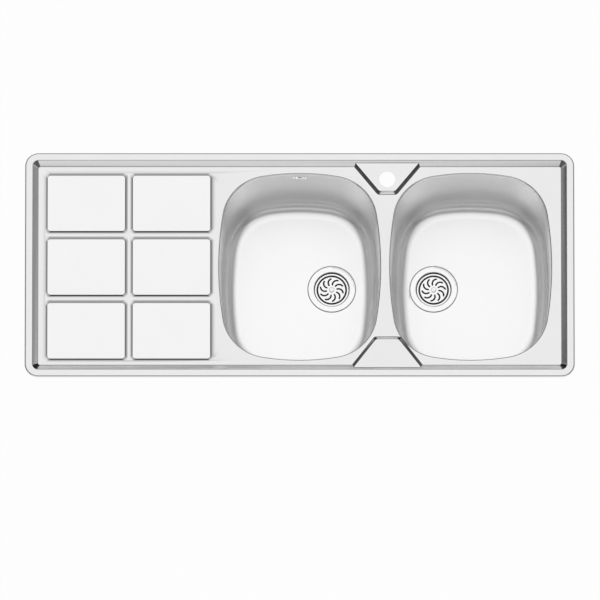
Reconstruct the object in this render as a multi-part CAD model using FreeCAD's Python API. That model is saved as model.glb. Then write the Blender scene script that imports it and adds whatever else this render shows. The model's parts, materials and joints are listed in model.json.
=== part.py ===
import FreeCAD, Part
import math
import os

os.makedirs("parts", exist_ok=True)

# Inset kitchen sink with a drainer and two bowls, in millimetres.
# +X runs along the sink to the right, +Y to the back, +Z up.
# The origin is the centre of the outline, at the level of the worktop.

# Pressed deck
sheet = 0.9
sink_length = 1200.0
sink_width = 510.0
outline_radius = 30.0
rim_height = 5.0
rim_edge_radius = 3.8
skirt_gap = 0.3
flange_width = 17.0
flange_inner_radius = 12.5
slope_width = 12.5
recess_depth = 10.0
recess_radius = 5.0
press_bend = 3.0
overrun = 20.0
seam = 0.01

# Drainer panels, pressed down between ribs
panel_gap_x = 6.4
panel_gap_y = 8.0
panel_columns = 2
panel_rows = 3
panel_left_gap = 2.15
panel_back_gap = 1.15
panel_front_margin = 10.1
panel_bowl_gap = 14.3
panel_radius = 9.0
panel_slope = 5.5
panel_depth = 2.6
panel_bend = 2.0

# Tap ledge at the back and plain ledge at the front
ledge_shift = 4.5
ledge_rise = 5.6
ledge_slope = 7.0
ledge_corner_radius = 9.0
ledge_bend = 1.6
rear_ledge_angle = 39.1
rear_ledge_to_bowl = 17.6
rear_ledge_tip_inset = 86.0
front_ledge_angle = 37.3
front_ledge_to_bowl = 9.4
front_ledge_tip_inset = 87.0
tap_hole_radius = 17.5
tap_hole_inset = 59.5

# Bowls
bowl_half_x = 175.5
bowl_gap = 22.0
bowl_right_margin = 22.0
bowl_back_margin = 16.0
bowl_front_margin = 12.5
bowl_side_radius = 750.0
bowl_end_radius = 480.0
bowl_corner_radius = 102.0
bowl_depth = 200.0
bowl_draft = 7.0
bowl_end_draft = 12.0
floor_corner_radius = 125.0
bowl_floor_radius = 38.0
lip_radius = 3.0
lip_depth = 8.0

# Drain opening in each bowl floor
left_drain_offset = 70.0
right_drain_offset = -80.0
drain_offset_y = 5.0
dish_gap = 2.3
dish_depth = 2.5
dish_slope = 2.0
drain_hole_gap = 2.3

# Strainer flange, its seal, and the basket's seat
strainer_sheet = 1.2
strainer_mouth_radius = 38.4
strainer_rim_width = 12.8
strainer_mouth_bend = 2.0
strainer_seal = 1.0
seat_depth = 9.0
seat_width = 5.0
cup_depth = 34.0
cup_bend = 3.0
cup_hole_radius = 7.5
cup_hole_circle = 21.5
cup_hole_count = 6
seal_inset = 2.0

# Removable basket
basket_sheet = 0.8
basket_side_gap = 1.0
basket_rim_width = 4.4
basket_rim_height = 2.4
basket_groove_width = 3.3
basket_groove_depth = 4.0
basket_skirt_depth = 9.0
basket_gap = 0.3
slot_count = 10
slot_width = 3.6
slot_inner_radius = 12.0
slot_edge_width = 4.4
slot_sweep = 25.0
slot_bow_share = 0.24
left_basket_turn = 11.0
right_basket_turn = 30.0
knob_radius = 5.8
knob_height = 4.0
knob_bend = 1.5
stem_radius = 3.0
stem_collar_radius = 6.5
stem_collar_height = 1.2
stopper_side_gap = 5.4
stopper_thickness = 3.0
stopper_lift_gap = 4.1
stopper_bend = 1.0

# Waste fitting under each bowl
waste_gasket_thickness = 3.0
waste_flange_width = 7.1
waste_flange_thickness = 4.0
waste_wall = 3.0
waste_bore_gap = 1.2
waste_shoulder_depth = 42.0
waste_cone_height = 11.0
outlet_radius = 23.9
outlet_wall = 2.9
outlet_length = 32.0
gasket_inset = 0.5
hub_radius = 7.0
hub_height = 14.0
spoke_width = 3.0
spoke_count = 4
clamp_screw_radius = 3.0
clamp_head_radius = 7.0
clamp_head_height = 3.4
clamp_screw_length = 20.0
thread_gap = 0.05

# Overflow of the left bowl
housing_top_gap = 3.0
overflow_slot_width = 4.0
overflow_slot_height = 6.5
overflow_pitch = 6.4
overflow_places = (-2, -1, 1, 2)
overflow_gasket_thickness = 3.0
housing_length = 58.0
housing_height = 34.0
housing_wall = 2.0
housing_corner_radius = 6.0
spout_length = 14.0
spout_back_gap = 1.0
pipe_radius = 12.5
pipe_wall = 2.0
pipe_bend_radius = 30.0
port_gap = 1.9
port_depth = 24.0
nut_radius = 16.5
nut_height = 12.0
nut_gap = 0.1
nut_to_bowl = 1.0
overflow_screw_radius = 2.0
overflow_screw_head_radius = 3.2
overflow_screw_head_height = 1.6
overflow_head_gap = 0.2
boss_radius = 4.5

# Seal under the flange
rim_seal_inset = 5.0
rim_seal_width = 9.0

# Sound-deadening pads
pad_thickness = 2.0
pad_length_share = 0.783
pad_width_share = 0.715
pad_radius = 6.0
bowl_pad_margin = 13.5
bowl_pad_end_margin = 61.0
bowl_pad_gap = 18.0

# Clamping clips: a bracket, a captive screw and a claw each
bracket_sheet = 1.5
bracket_width = 11.5
bracket_foot = 8.0
bracket_span = 18.0
bracket_drop = 6.5
clip_screw_radius = 2.5
clip_hole_gap = 0.08
clip_head_radius = 4.2
clip_head_height = 3.0
clip_head_gap = 0.3
clip_tip_radius = 3.6
clip_tip_height = 1.6
driver_slot_width = 1.0
driver_slot_depth = 1.2
claw_length = 36.0
claw_width = 12.0
claw_sheet = 2.5
claw_rise = 9.0
claw_grip_z = -42.0
clip_edge_gap = 7.0
clip_left_inset = 95.5
clip_drainer_inset = 140.5
clip_corner_inset = 10.5
clip_end_inset = 48.5

# Levels that follow from the sizes above
deck_top = rim_height - recess_depth
lip_end = deck_top - lip_depth
floor_top = rim_height - bowl_depth
recess_inset = flange_width + slope_width
deck_underside = deck_top - sheet
field_half_x = sink_length / 2 - recess_inset
field_half_y = sink_width / 2 - recess_inset

# The bowls fill the field from its right end, between their margins.
bowl_half_y = field_half_y - (bowl_back_margin + bowl_front_margin) / 2
bowl_centre_y = (bowl_front_margin - bowl_back_margin) / 2
bowl_spacing = 2 * bowl_half_x + bowl_gap
right_bowl_x = field_half_x - bowl_right_margin - bowl_half_x
bowl_centres = {"left": right_bowl_x - bowl_spacing, "right": right_bowl_x}
ledge_x = right_bowl_x - bowl_spacing / 2 + ledge_shift
drain_offsets = {"left": left_drain_offset, "right": right_drain_offset}
drain_side = {"left": 1, "right": -1}
basket_turns = {"left": left_basket_turn, "right": right_basket_turn}

# The panels share what is left, clear of the clips at the back and at the left end.
clip_strip = clip_edge_gap + bracket_width / 2
panel_left = -field_half_x + clip_strip + panel_left_gap
panel_right = bowl_centres["left"] - bowl_half_x - panel_bowl_gap
panel_back = field_half_y - clip_strip - panel_back_gap
panel_front = -field_half_y + panel_front_margin
panel_length = (panel_right - panel_left - panel_gap_x * (panel_columns - 1)) / panel_columns
panel_width = (panel_back - panel_front - panel_gap_y * (panel_rows - 1)) / panel_rows

# Radii of the strainer, the basket and the waste fitting, from the strainer's mouth outwards and inwards
cup_radius = strainer_mouth_radius - seat_width
strainer_radius = strainer_mouth_radius + strainer_rim_width
strainer_outer_radius = strainer_mouth_radius + strainer_sheet
drain_hole_radius = strainer_outer_radius + drain_hole_gap
dish_radius = strainer_radius + dish_gap
waste_bore_radius = strainer_outer_radius + waste_bore_gap
basket_radius = strainer_mouth_radius - basket_side_gap
stopper_radius = cup_radius - stopper_side_gap
waste_flange_radius = waste_bore_radius + waste_wall + waste_flange_width
port_length = waste_wall + waste_flange_width + nut_height / 2 + port_gap

up = FreeCAD.Vector(0, 0, 1)
origin = FreeCAD.Vector(0, 0, 0)


def point(x, y, z):
    return FreeCAD.Vector(x, y, z)


# A closed wire through the corners, each one rounded by its radius.
def rounded_wire(corners, radii):
    starts = []
    ends = []
    middles = []
    for index, corner in enumerate(corners):
        before = (corners[index - 1] - corner).normalize()
        after = (corners[(index + 1) % len(corners)] - corner).normalize()
        half_angle = before.getAngle(after) / 2
        radius = radii[index]
        setback = radius / math.tan(half_angle)
        inward = (before + after).normalize()
        starts.append(corner + before * setback)
        ends.append(corner + after * setback)
        middles.append(corner + inward * (radius / math.sin(half_angle) - radius))
    edges = []
    for index, radius in enumerate(radii):
        if radius > 0:
            arc = Part.Arc(starts[index], middles[index], ends[index])
            edges.append(arc.toShape())
        following = starts[(index + 1) % len(corners)]
        if ends[index].distanceToPoint(following) > seam:
            edges.append(Part.makeLine(ends[index], following))
    return Part.Wire(edges)


def rectangle_wire(x_low, x_high, y_low, y_high, radius, z):
    corners = [
        point(x_low, y_low, z),
        point(x_high, y_low, z),
        point(x_high, y_high, z),
        point(x_low, y_high, z),
    ]
    return rounded_wire(corners, [radius] * len(corners))


def outline_wire(inset, radius, z):
    half_x = sink_length / 2 - inset
    half_y = sink_width / 2 - inset
    return rectangle_wire(-half_x, half_x, -half_y, half_y, radius, z)


def prism(wire, height):
    return Part.Face(wire).extrude(up * height)


def tapered(lower, upper):
    return Part.makeLoft([lower, upper], True, True)


# A turned solid from a closed outline of (radius, height) corners.
def turned(corners, radii):
    wire = rounded_wire([point(r, 0, z) for r, z in corners], radii)
    return Part.Face(wire).revolve(origin, up, 360)


def ring(inner, outer, z, height):
    hole = Part.makeCylinder(inner, height, point(0, 0, z))
    return Part.makeCylinder(outer, height, point(0, 0, z)).cut(hole)


def level_edges(shape, z):
    return [e for e in shape.Edges if abs(e.BoundBox.ZMin - z) < seam and abs(e.BoundBox.ZMax - z) < seam]


def round_level(shape, z, radius, box=None):
    edges = level_edges(shape, z)
    if box:
        edges = [e for e in edges if box.isInside(e.BoundBox)]
    return shape.makeFillet(radius, edges)


# Centres of a bowl outline's arcs, from the bowl's centre: side, end and the corner that meets both.
def bowl_arc_centres(half_x, half_y, corner_radius):
    side_centre = point(half_x - bowl_side_radius, 0, 0)
    end_centre = point(0, half_y - bowl_end_radius, 0)
    to_side = bowl_side_radius - corner_radius
    to_end = bowl_end_radius - corner_radius
    apart = end_centre - side_centre
    along = (to_side ** 2 - to_end ** 2 + apart.Length ** 2) / (2 * apart.Length)
    across = math.sqrt(to_side ** 2 - along ** 2)
    direction = apart / apart.Length
    normal = point(-direction.y, direction.x, 0)
    return side_centre, end_centre, side_centre + direction * along + normal * across


mouth_sizes = (bowl_half_x, bowl_half_y, bowl_corner_radius)
floor_sizes = (bowl_half_x - bowl_draft, bowl_half_y - bowl_end_draft, floor_corner_radius)


# A bowl's outline at its mouth or floor: crowned sides and ends joined by corner arcs, grown by offset.
def bowl_wire(centre_x, z, sizes, offset):
    half_x, half_y, corner_radius = sizes
    side_centre, end_centre, corner = bowl_arc_centres(*sizes)
    radius = corner_radius + offset
    from_side = (corner - side_centre).normalize()
    from_end = (corner - end_centre).normalize()
    side_joint = corner + from_side * radius
    end_joint = corner + from_end * radius
    corner_middle = corner + (from_side + from_end).normalize() * radius
    crown_x = half_x + offset
    crown_y = half_y + offset

    def place(p, sign_x, sign_y):
        return point(centre_x + sign_x * p.x, bowl_centre_y + sign_y * p.y, z)

    side = point(crown_x, 0, 0)
    end = point(0, crown_y, 0)
    arcs = [
        (place(side_joint, 1, -1), place(side, 1, 1), place(side_joint, 1, 1)),
        (place(side_joint, 1, 1), place(corner_middle, 1, 1), place(end_joint, 1, 1)),
        (place(end_joint, 1, 1), place(end, 1, 1), place(end_joint, -1, 1)),
        (place(end_joint, -1, 1), place(corner_middle, -1, 1), place(side_joint, -1, 1)),
        (place(side_joint, -1, 1), place(side, -1, 1), place(side_joint, -1, -1)),
        (place(side_joint, -1, -1), place(corner_middle, -1, -1), place(end_joint, -1, -1)),
        (place(end_joint, -1, -1), place(end, 1, -1), place(end_joint, 1, -1)),
        (place(end_joint, 1, -1), place(corner_middle, 1, -1), place(side_joint, 1, -1)),
    ]
    return Part.Wire([Part.Arc(*arc).toShape() for arc in arcs])


def panel_centres():
    for column in range(panel_columns):
        for row in range(panel_rows):
            x = panel_left + panel_length / 2 + column * (panel_length + panel_gap_x)
            y = panel_front + panel_width / 2 + row * (panel_width + panel_gap_y)
            yield x, y


def panel_wire(x, y, inset, radius, z):
    half_x = panel_length / 2 - inset
    half_y = panel_width / 2 - inset
    return rectangle_wire(x - half_x, x + half_x, y - half_y, y + half_y, radius, z)


# A ledge between the bowls' corners, grown by the run of its slope at its tip and sides.
def ledge_wire(side, angle, to_bowl, tip_inset, grow, z):
    corner = bowl_arc_centres(*mouth_sizes)[2]
    corner_y = side * bowl_centre_y + corner.y
    across = bowl_centres["right"] - corner.x - ledge_x
    lean = math.tan(math.radians(angle))
    apart = (bowl_corner_radius + to_bowl - grow) * math.hypot(1, lean)
    far_y = sink_width / 2 - flange_width
    near_y = sink_width / 2 - tip_inset - grow
    far_half = across + lean * (far_y - corner_y) - apart
    near_half = across + lean * (near_y - corner_y) - apart
    corners = [
        point(ledge_x - far_half, side * far_y, z),
        point(ledge_x + far_half, side * far_y, z),
        point(ledge_x + near_half, side * near_y, z),
        point(ledge_x - near_half, side * near_y, z),
    ]
    return rounded_wire(corners, [0, 0, ledge_corner_radius, ledge_corner_radius])


# A raised ledge on the back (side 1) or front (side -1), with sloped sides that end in the rim.
def ledge(side, drop):
    if side > 0:
        sizes = (rear_ledge_angle, rear_ledge_to_bowl, rear_ledge_tip_inset)
    else:
        sizes = (front_ledge_angle, front_ledge_to_bowl, front_ledge_tip_inset)
    bottom = ledge_wire(side, *sizes, ledge_slope, deck_top - drop)
    top = ledge_wire(side, *sizes, 0, deck_top + ledge_rise - drop)
    block = tapered(bottom, top)
    far_y = sink_width / 2 - flange_width - seam
    edges = level_edges(block, deck_top + ledge_rise - drop)
    edges = [e for e in edges if min(abs(e.BoundBox.YMin), abs(e.BoundBox.YMax)) < far_y]
    return block.makeFillet(ledge_bend, edges)


# Everything below the deck's surface, with the surface lowered and its outer walls inset.
def pressed_volume(drop, inset):
    top = rim_height - drop
    field = deck_top - drop
    base = lip_end - (overrun if drop else 0)
    body = prism(outline_wire(inset, outline_radius - inset, base), top - base)
    body = round_level(body, top, rim_edge_radius - inset)
    recess_floor = outline_wire(recess_inset, recess_radius, field)
    recess = tapered(recess_floor, outline_wire(flange_width, flange_inner_radius, top))
    body = body.cut(round_level(recess, field, press_bend))
    half_x = sink_length / 2 - flange_width + seam
    half_y = sink_width / 2 - flange_width + seam
    box = FreeCAD.BoundBox(-half_x, -half_y, -overrun, half_x, half_y, overrun)
    body = round_level(body, top, press_bend, box)
    for x, y in panel_centres():
        lower = panel_wire(x, y, panel_slope, panel_radius - panel_bend, field - panel_depth)
        upper = panel_wire(x, y, 0, panel_radius, field)
        body = body.cut(round_level(tapered(lower, upper), field - panel_depth, panel_bend))
    body = body.fuse(ledge(1, drop)).fuse(ledge(-1, drop))
    for centre_x in bowl_centres.values():
        wire = bowl_wire(centre_x, base - overrun, mouth_sizes, inset)
        mouth = prism(wire, field - base + 2 * overrun)
        body = body.cut(mouth)
        reach_x = bowl_half_x + inset + seam
        reach_y = bowl_half_y + inset + seam
        box = FreeCAD.BoundBox(
            centre_x - reach_x, bowl_centre_y - reach_y, -2 * overrun,
            centre_x + reach_x, bowl_centre_y + reach_y, 2 * overrun)
        body = round_level(body, field, lip_radius - inset, box)
    return body


def make_deck():
    deck = pressed_volume(0, 0).cut(pressed_volume(sheet, sheet))
    below = prism(outline_wire(-overrun, outline_radius, lip_end - overrun), skirt_gap - lip_end + overrun)
    inside = prism(outline_wire(flange_width, flange_inner_radius, lip_end - 2 * overrun), 4 * overrun)
    deck = deck.cut(below.cut(inside))
    tap_hole_y = sink_width / 2 - tap_hole_inset
    hole = Part.makeCylinder(tap_hole_radius, 2 * overrun, point(ledge_x, tap_hole_y, -overrun))
    return deck.cut(hole)


def bowl_volume(centre_x, offset):
    upper = bowl_wire(centre_x, lip_end, mouth_sizes, offset)
    lower = bowl_wire(centre_x, floor_top - offset, floor_sizes, offset)
    volume = tapered(lower, upper)
    return round_level(volume, floor_top - offset, bowl_floor_radius + offset)


def drain_point(side):
    x = bowl_centres[side] + drain_offsets[side]
    return point(x, bowl_centre_y + drain_offset_y, floor_top)


def at_drain(shape, side):
    return shape.translated(drain_point(side))


# The shallow dish pressed round the drain opening, carried up where the floor starts to curve.
def dish(offset):
    radius = dish_radius + offset
    cone = Part.makeCone(radius - dish_slope, radius, dish_depth, point(0, 0, -dish_depth - offset))
    return cone.fuse(Part.makeCylinder(radius, dish_depth + offset, point(0, 0, -offset)))


def make_bowl(side):
    centre_x = bowl_centres[side]
    outer = bowl_volume(centre_x, sheet).fuse(at_drain(dish(sheet), side))
    inner = bowl_volume(centre_x, 0).fuse(at_drain(dish(0), side))
    hole = Part.makeCylinder(drain_hole_radius, 2 * overrun, point(0, 0, -overrun))
    bowl = outer.cut(inner).cut(at_drain(hole, side))
    if side == "left":
        bowl = bowl.cut(overflow_cuts())
    return bowl


overflow_x = bowl_centres["left"]
overflow_z = lip_end - housing_top_gap - housing_height / 2
draft_rate = bowl_end_draft / (lip_end - floor_top)
wall_y = bowl_centre_y + bowl_half_y - draft_rate * (lip_end - overflow_z)
housing_y = wall_y + sheet + overflow_gasket_thickness
pipe_y = wall_y + sheet + nut_radius + nut_to_bowl
housing_depth = pipe_y + pipe_radius + spout_back_gap - housing_y


def along_y(radius, length, x, y, z):
    return Part.makeCylinder(radius, length, point(x, y, z), point(0, 1, 0))


# Four upright slots with the screw's hole between them, cut through along Y.
def overflow_cuts():
    screw_hole = overflow_screw_radius + thread_gap
    cuts = along_y(screw_hole, 2 * overrun, overflow_x, wall_y - overrun, overflow_z)
    half = (overflow_slot_height - overflow_slot_width) / 2
    radius = overflow_slot_width / 2
    for place in overflow_places:
        x = overflow_x + place * overflow_pitch
        block = Part.makeBox(
            overflow_slot_width, 2 * overrun, 2 * half,
            point(x - radius, wall_y - overrun, overflow_z - half))
        cuts = cuts.fuse(block)
        cuts = cuts.fuse(along_y(radius, 2 * overrun, x, wall_y - overrun, overflow_z - half))
        cuts = cuts.fuse(along_y(radius, 2 * overrun, x, wall_y - overrun, overflow_z + half))
    return cuts


def upright_block(inset, y, depth):
    half_x = housing_length / 2 - inset
    half_z = housing_height / 2 - inset
    corners = [
        point(overflow_x - half_x, y, overflow_z - half_z),
        point(overflow_x + half_x, y, overflow_z - half_z),
        point(overflow_x + half_x, y, overflow_z + half_z),
        point(overflow_x - half_x, y, overflow_z + half_z),
    ]
    wire = rounded_wire(corners, [housing_corner_radius - inset] * len(corners))
    return Part.Face(wire).extrude(point(0, depth, 0))


def make_overflow_gasket():
    depth = overflow_gasket_thickness + overrun
    pad = upright_block(0, housing_y - depth, depth)
    window = upright_block(housing_wall, housing_y - depth, depth)
    pad = pad.cut(window)
    return pad.cut(bowl_volume(overflow_x, sheet))


def make_overflow_housing():
    shell = upright_block(0, housing_y, housing_depth)
    bottom = overflow_z - housing_height / 2
    spout_end = point(overflow_x, pipe_y, bottom - spout_length)
    shell = shell.fuse(Part.makeCylinder(pipe_radius, spout_length, spout_end))
    shell = shell.cut(upright_block(housing_wall, housing_y, housing_depth - housing_wall))
    shell = shell.cut(Part.makeCylinder(pipe_radius - pipe_wall, spout_length + housing_wall, spout_end))
    boss = along_y(boss_radius, housing_depth, overflow_x, housing_y, overflow_z)
    screw_hole = overflow_screw_radius + thread_gap
    boss = boss.cut(along_y(screw_hole, housing_depth, overflow_x, housing_y, overflow_z))
    return shell.fuse(boss)


def make_overflow_screw():
    head_y = wall_y - overflow_head_gap - overflow_screw_head_height
    head = along_y(overflow_screw_head_radius, overflow_screw_head_height, overflow_x, head_y, overflow_z)
    end_y = housing_y + housing_depth - 2 * housing_wall
    shank = along_y(overflow_screw_radius, end_y - head_y, overflow_x, head_y, overflow_z)
    return head.fuse(shank)


def pipe_ends():
    top = point(overflow_x, pipe_y, overflow_z - housing_height / 2 - spout_length)
    drain = drain_point("left")
    level = drain.z - port_depth
    bend = point(overflow_x, pipe_y, level)
    towards = point(drain.x, drain.y, level) - bend
    run = towards.Length - waste_bore_radius - port_length
    direction = towards.normalize()
    return top, bend, bend + direction * run, direction


def tube_along(start, bend, end, radius):
    first = (start - bend).normalize()
    second = (end - bend).normalize()
    setback = pipe_bend_radius / math.tan(first.getAngle(second) / 2)
    arc_start = bend + first * setback
    arc_end = bend + second * setback
    inward = (first + second).normalize()
    reach = pipe_bend_radius / math.sin(first.getAngle(second) / 2) - pipe_bend_radius
    edges = [
        Part.makeLine(start, arc_start),
        Part.Arc(arc_start, bend + inward * reach, arc_end).toShape(),
        Part.makeLine(arc_end, end),
    ]
    circle = Part.Wire([Part.makeCircle(radius, start, first)])
    return Part.Wire(edges).makePipeShell([circle], True, False)


def make_overflow_pipe():
    top, bend, end, direction = pipe_ends()
    outer = tube_along(top, bend, end, pipe_radius)
    inner = tube_along(top, bend, end, pipe_radius - pipe_wall)
    return outer.cut(inner)


def make_nut(centre, direction):
    start = centre - direction * (nut_height / 2)
    body = Part.makeCylinder(nut_radius, nut_height, start, direction)
    return body.cut(Part.makeCylinder(pipe_radius + nut_gap, nut_height, start, direction))


# Strainer flange: a rim on the bowl floor, a seat for the basket and a cup with drain holes.
def make_strainer():
    top = strainer_seal - dish_depth + strainer_sheet
    outer_cup = cup_radius + strainer_sheet
    centre = clamp_screw_radius + thread_gap
    corners = [
        (strainer_radius, top - strainer_sheet),
        (strainer_radius, top),
        (strainer_mouth_radius, top),
        (strainer_mouth_radius, -seat_depth),
        (cup_radius, -seat_depth),
        (cup_radius, -cup_depth),
        (centre, -cup_depth),
        (centre, -cup_depth - strainer_sheet),
        (outer_cup, -cup_depth - strainer_sheet),
        (outer_cup, -seat_depth - strainer_sheet),
        (strainer_outer_radius, -seat_depth - strainer_sheet),
        (strainer_outer_radius, top - strainer_sheet),
    ]
    edge = strainer_sheet / 3
    radii = [0, edge, strainer_mouth_bend, 0, edge, cup_bend, 0, 0, cup_bend + strainer_sheet, 0, edge, 0]
    body = turned(corners, radii)
    for index in range(cup_hole_count):
        angle = 2 * math.pi * index / cup_hole_count
        x = cup_hole_circle * math.cos(angle)
        y = cup_hole_circle * math.sin(angle)
        body = body.cut(Part.makeCylinder(cup_hole_radius, overrun, point(x, y, -cup_depth - overrun / 2)))
    return body


basket_bottom = basket_gap - seat_depth
disc_top = basket_bottom + basket_rim_height
disc_radius = basket_radius - basket_rim_width - basket_groove_width
stopper_low = -cup_depth + clamp_head_height + stopper_lift_gap + stem_collar_height


# One comma-shaped slot: a bowed band of the basket's disc that sweeps clockwise from the hub outwards.
def slot_cut(angle):
    sweep = math.radians(-slot_sweep)
    inner = point(slot_inner_radius, 0, 0)
    outer_radius = disc_radius - slot_edge_width
    outer = point(outer_radius * math.cos(sweep), outer_radius * math.sin(sweep), 0)
    chord = outer - inner
    side = point(-chord.y, chord.x, 0).normalize()
    bow = chord.Length * slot_bow_share
    middle = (inner + outer) / 2 + side * bow
    half_width = slot_width / 2
    centre_line = Part.Arc(inner, middle, outer)
    centre = centre_line.toShape().Curve.Center
    spread = centre_line.toShape().Curve.Radius
    start_out = (inner - centre).normalize()
    middle_out = (middle - centre).normalize()
    end_out = (outer - centre).normalize()
    inside = [centre + d * (spread - half_width) for d in (start_out, middle_out, end_out)]
    outside = [centre + d * (spread + half_width) for d in (start_out, middle_out, end_out)]
    tangent_start = (inner - middle).normalize()
    tangent_end = (outer - middle).normalize()
    edges = [
        Part.Arc(*inside).toShape(),
        Part.Arc(inside[2], outer + tangent_end * half_width, outside[2]).toShape(),
        Part.Arc(*reversed(outside)).toShape(),
        Part.Arc(outside[0], inner + tangent_start * half_width, inside[0]).toShape(),
    ]
    cutter = prism(Part.Wire(edges), 2 * overrun)
    cutter.translate(point(0, 0, -overrun))
    cutter.rotate(origin, up, angle)
    return cutter


# Basket: a rolled rim, a groove, a slotted disc and a short skirt below.
def make_basket(side):
    rim_inner = basket_radius - basket_rim_width
    groove_bottom = disc_top - basket_groove_depth
    skirt_bottom = groove_bottom - basket_skirt_depth
    corners = [
        (stem_radius + thread_gap, disc_top - basket_sheet),
        (stem_radius + thread_gap, disc_top),
        (disc_radius, disc_top),
        (disc_radius, groove_bottom),
        (rim_inner, groove_bottom),
        (rim_inner, disc_top),
        (basket_radius, disc_top),
        (basket_radius, basket_bottom),
        (rim_inner + basket_sheet / 2, basket_bottom),
        (rim_inner - basket_sheet / 2, groove_bottom - basket_sheet),
        (disc_radius + basket_sheet, groove_bottom - basket_sheet),
        (disc_radius + basket_sheet, skirt_bottom),
        (disc_radius, skirt_bottom),
        (disc_radius - basket_sheet, groove_bottom - basket_sheet),
        (disc_radius - basket_sheet, disc_top - basket_sheet),
    ]
    radii = [0, 0, basket_sheet / 2, 0, 0, basket_sheet, basket_sheet, 0, 0, 0, 0, 0, 0, 0, 0]
    body = turned(corners, radii)
    for index in range(slot_count):
        body = body.cut(slot_cut(basket_turns[side] + 360 * index / slot_count))
    return body


def make_knob():
    corners = [
        (0, stopper_low - stem_collar_height),
        (stem_collar_radius, stopper_low - stem_collar_height),
        (stem_collar_radius, stopper_low),
        (stem_radius, stopper_low),
        (stem_radius, disc_top),
        (knob_radius, disc_top),
        (knob_radius, disc_top + knob_height),
        (0, disc_top + knob_height),
    ]
    return turned(corners, [0, 0, 0, 0, 0, 0, knob_bend, 0])


def make_stopper():
    bore = stem_radius + thread_gap
    corners = [
        (bore, stopper_low),
        (stopper_radius, stopper_low),
        (stopper_radius, stopper_low + stopper_thickness),
        (bore, stopper_low + stopper_thickness),
    ]
    return turned(corners, [0, stopper_bend, stopper_bend, 0])


waste_top = -dish_depth - sheet - waste_gasket_thickness
shoulder_z = -waste_shoulder_depth
outlet_top = shoulder_z - waste_cone_height
outlet_end = outlet_top - outlet_length


# Waste body: a flange under the bowl, a bell, a cone, a threaded outlet and a hub on spokes.
def make_waste(side):
    outer = waste_bore_radius + waste_wall
    outlet_bore = outlet_radius - outlet_wall
    corners = [
        (waste_bore_radius, waste_top),
        (waste_flange_radius, waste_top),
        (waste_flange_radius, waste_top - waste_flange_thickness),
        (outer, waste_top - waste_flange_thickness),
        (outer, shoulder_z),
        (outlet_radius, outlet_top),
        (outlet_radius, outlet_end),
        (outlet_bore, outlet_end),
        (outlet_bore, outlet_top),
        (waste_bore_radius, shoulder_z),
    ]
    body = turned(corners, [0] * len(corners))
    hub_top = -cup_depth - strainer_sheet
    hub = Part.makeCylinder(hub_radius, hub_height, point(0, 0, hub_top - hub_height))
    for index in range(spoke_count):
        spoke = Part.makeBox(
            waste_bore_radius + waste_wall / 2, spoke_width, hub_height / 2,
            point(0, -spoke_width / 2, hub_top - hub_height))
        spoke.rotate(origin, up, 360 * (index + 1 / 2) / spoke_count)
        hub = hub.fuse(spoke)
    outside = corners[1:7] + [(0, outlet_end), (0, waste_top)]
    envelope = turned(outside, [0] * len(outside))
    body = body.fuse(hub.common(envelope))
    bore = Part.makeCylinder(clamp_screw_radius + thread_gap, hub_height, point(0, 0, hub_top - hub_height))
    body = body.cut(bore)
    if side == "left":
        body = add_port(body)
    return body


def add_port(body):
    direction = pipe_ends()[3] * -1
    start = point(0, 0, -port_depth) + direction * waste_bore_radius
    port = Part.makeCylinder(pipe_radius, port_length, start, direction)
    well = Part.makeCylinder(waste_bore_radius, 2 * pipe_radius, point(0, 0, -port_depth - pipe_radius))
    body = body.fuse(port.cut(well))
    bore_start = start - direction * waste_wall
    bore = Part.makeCylinder(pipe_radius - pipe_wall, port_length + 2 * waste_wall, bore_start, direction)
    return body.cut(bore)


def make_clamp_screw():
    top = -cup_depth + clamp_head_height
    head = Part.makeCylinder(clamp_head_radius, clamp_head_height, point(0, 0, -cup_depth))
    shank = Part.makeCylinder(clamp_screw_radius, clamp_screw_length, point(0, 0, top - clamp_screw_length))
    slot = Part.makeBox(
        2 * clamp_head_radius, driver_slot_width, driver_slot_depth,
        point(-clamp_head_radius, -driver_slot_width / 2, top - driver_slot_depth))
    return head.fuse(shank).cut(slot)


def make_rim_seal():
    height = rim_height - sheet
    outer = prism(outline_wire(rim_seal_inset, outline_radius - rim_seal_inset, 0), height)
    inset = rim_seal_inset + rim_seal_width
    return outer.cut(prism(outline_wire(inset, outline_radius - inset, 0), height))


def make_drainer_pads():
    low = deck_underside - panel_depth - pad_thickness
    half_x = pad_length_share * panel_length / 2
    half_y = pad_width_share * panel_width / 2
    pads = []
    for x, y in panel_centres():
        wire = rectangle_wire(x - half_x, x + half_x, y - half_y, y + half_y, pad_radius, low)
        pads.append(prism(wire, pad_thickness))
    return Part.makeCompound(pads)


# The pad covers the floor's flat part, on the side away from the drain.
def make_bowl_pad(side):
    flat_x = bowl_half_x - bowl_draft - bowl_floor_radius
    flat_y = bowl_half_y - bowl_end_draft - bowl_floor_radius
    far_x = bowl_centres[side] - drain_side[side] * (flat_x - bowl_pad_margin)
    near_x = drain_point(side).x - drain_side[side] * (dish_radius + bowl_pad_gap)
    half_y = flat_y - bowl_pad_end_margin
    wire = rectangle_wire(
        min(far_x, near_x), max(far_x, near_x), bowl_centre_y - half_y, bowl_centre_y + half_y,
        pad_radius, floor_top - sheet - pad_thickness)
    return prism(wire, pad_thickness)


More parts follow.
